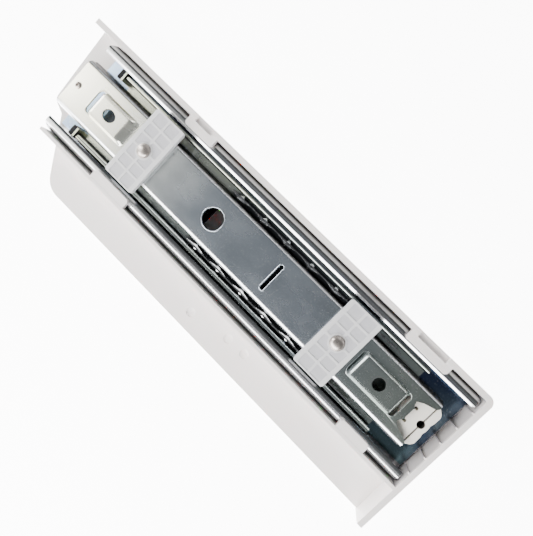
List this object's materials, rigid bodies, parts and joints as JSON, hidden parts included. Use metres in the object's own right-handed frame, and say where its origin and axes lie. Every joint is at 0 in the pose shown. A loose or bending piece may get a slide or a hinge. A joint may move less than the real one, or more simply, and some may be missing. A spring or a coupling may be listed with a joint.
{
  "type": "drawer slide",
  "caption": "Telescopic ball-bearing drawer slide in zinc-plated steel, clipped into a moulded plastic side cover, with nylon spacer blocks for the drawer.",
  "frame": {"origin": "under the middle of the object's box, on the flat back of the cover; the slide itself is centred 7.6 mm towards -X and 15.4 mm towards -Y of it", "axes": "+X is the direction in which the drawer opens and the object's longest side, +Y runs across the slide towards the free edge of the cover's skirt, +Z points away from the wall that the cover's back rests on"},
  "size_m": [0.377, 0.1196, 0.0283],
  "materials": {
    "white_plastic": "fine moulded satin, warm white",
    "blue_zinc_steel": "blue passivated zinc plate, glossy",
    "zinc_steel": "zinc plate, satin with drawing lines",
    "bright_zinc_steel": "bright zinc plate with a faint yellow and green bloom",
    "ball_steel": "polished bearing steel",
    "cage_steel": "dark phosphated strip with worn bright edges",
    "rivet_steel": "nickel-plated steel, smooth",
    "natural_nylon": "translucent natural nylon, satin",
    "cream_plastic": "cream acetal, satin",
    "black_rubber": "black moulded rubber"
  },
  "bodies": {
    "housing": {"cover_housing": "white_plastic", "outer_member": "blue_zinc_steel", "rear_catch": "cream_plastic"},
    "middle": {"middle_member": "zinc_steel", "front_bumper_upper": "black_rubber", "front_bumper_lower": "black_rubber"},
    "inner": {"inner_member": "bright_zinc_steel", "spacer_block_front": "natural_nylon", "spacer_block_rear": "natural_nylon", "block_rivet_front": "rivet_steel", "block_rivet_rear": "rivet_steel", "front_eyelet": "rivet_steel"},
    "outer_cage_upper": {"outer_cage_upper": "cage_steel", "outer_ball_upper_1": "ball_steel", "outer_ball_upper_2": "ball_steel", "outer_ball_upper_3": "ball_steel", "outer_ball_upper_4": "ball_steel", "outer_ball_upper_5": "ball_steel", "outer_ball_upper_6": "ball_steel"},
    "outer_cage_lower": {"outer_cage_lower": "cage_steel", "outer_ball_lower_1": "ball_steel", "outer_ball_lower_2": "ball_steel", "outer_ball_lower_3": "ball_steel", "outer_ball_lower_4": "ball_steel", "outer_ball_lower_5": "ball_steel", "outer_ball_lower_6": "ball_steel"},
    "inner_cage_upper": {"inner_cage_upper": "cage_steel", "inner_ball_upper_1": "ball_steel", "inner_ball_upper_2": "ball_steel", "inner_ball_upper_3": "ball_steel", "inner_ball_upper_4": "ball_steel", "inner_ball_upper_5": "ball_steel", "inner_ball_upper_6": "ball_steel"},
    "inner_cage_lower": {"inner_cage_lower": "cage_steel", "inner_ball_lower_1": "ball_steel", "inner_ball_lower_2": "ball_steel", "inner_ball_lower_3": "ball_steel", "inner_ball_lower_4": "ball_steel", "inner_ball_lower_5": "ball_steel", "inner_ball_lower_6": "ball_steel"}
  },
  "joints": [
    {"name": "middle_slide", "type": "slide", "parent": "housing", "child": "middle", "axis": [1, 0, 0], "range_m": [0, 0.19]},
    {"name": "inner_slide", "type": "slide", "parent": "middle", "child": "inner", "axis": [1, 0, 0], "range_m": [0, 0.102]},
    {"name": "outer_cage_upper_roll", "type": "slide", "parent": "housing", "child": "outer_cage_upper", "axis": [1, 0, 0], "range_m": [0, 0.095]},
    {"name": "outer_cage_lower_roll", "type": "slide", "parent": "housing", "child": "outer_cage_lower", "axis": [1, 0, 0], "range_m": [0, 0.095]},
    {"name": "inner_cage_upper_roll", "type": "slide", "parent": "middle", "child": "inner_cage_upper", "axis": [1, 0, 0], "range_m": [0, 0.051]},
    {"name": "inner_cage_lower_roll", "type": "slide", "parent": "middle", "child": "inner_cage_lower", "axis": [1, 0, 0], "range_m": [0, 0.051]}
  ],
  "couplings": [
    {"joint": "outer_cage_upper_roll", "follows": "middle_slide", "ratio": 0.5},
    {"joint": "outer_cage_lower_roll", "follows": "middle_slide", "ratio": 0.5},
    {"joint": "inner_cage_upper_roll", "follows": "inner_slide", "ratio": 0.5},
    {"joint": "inner_cage_lower_roll", "follows": "inner_slide", "ratio": 0.5}
  ]
}
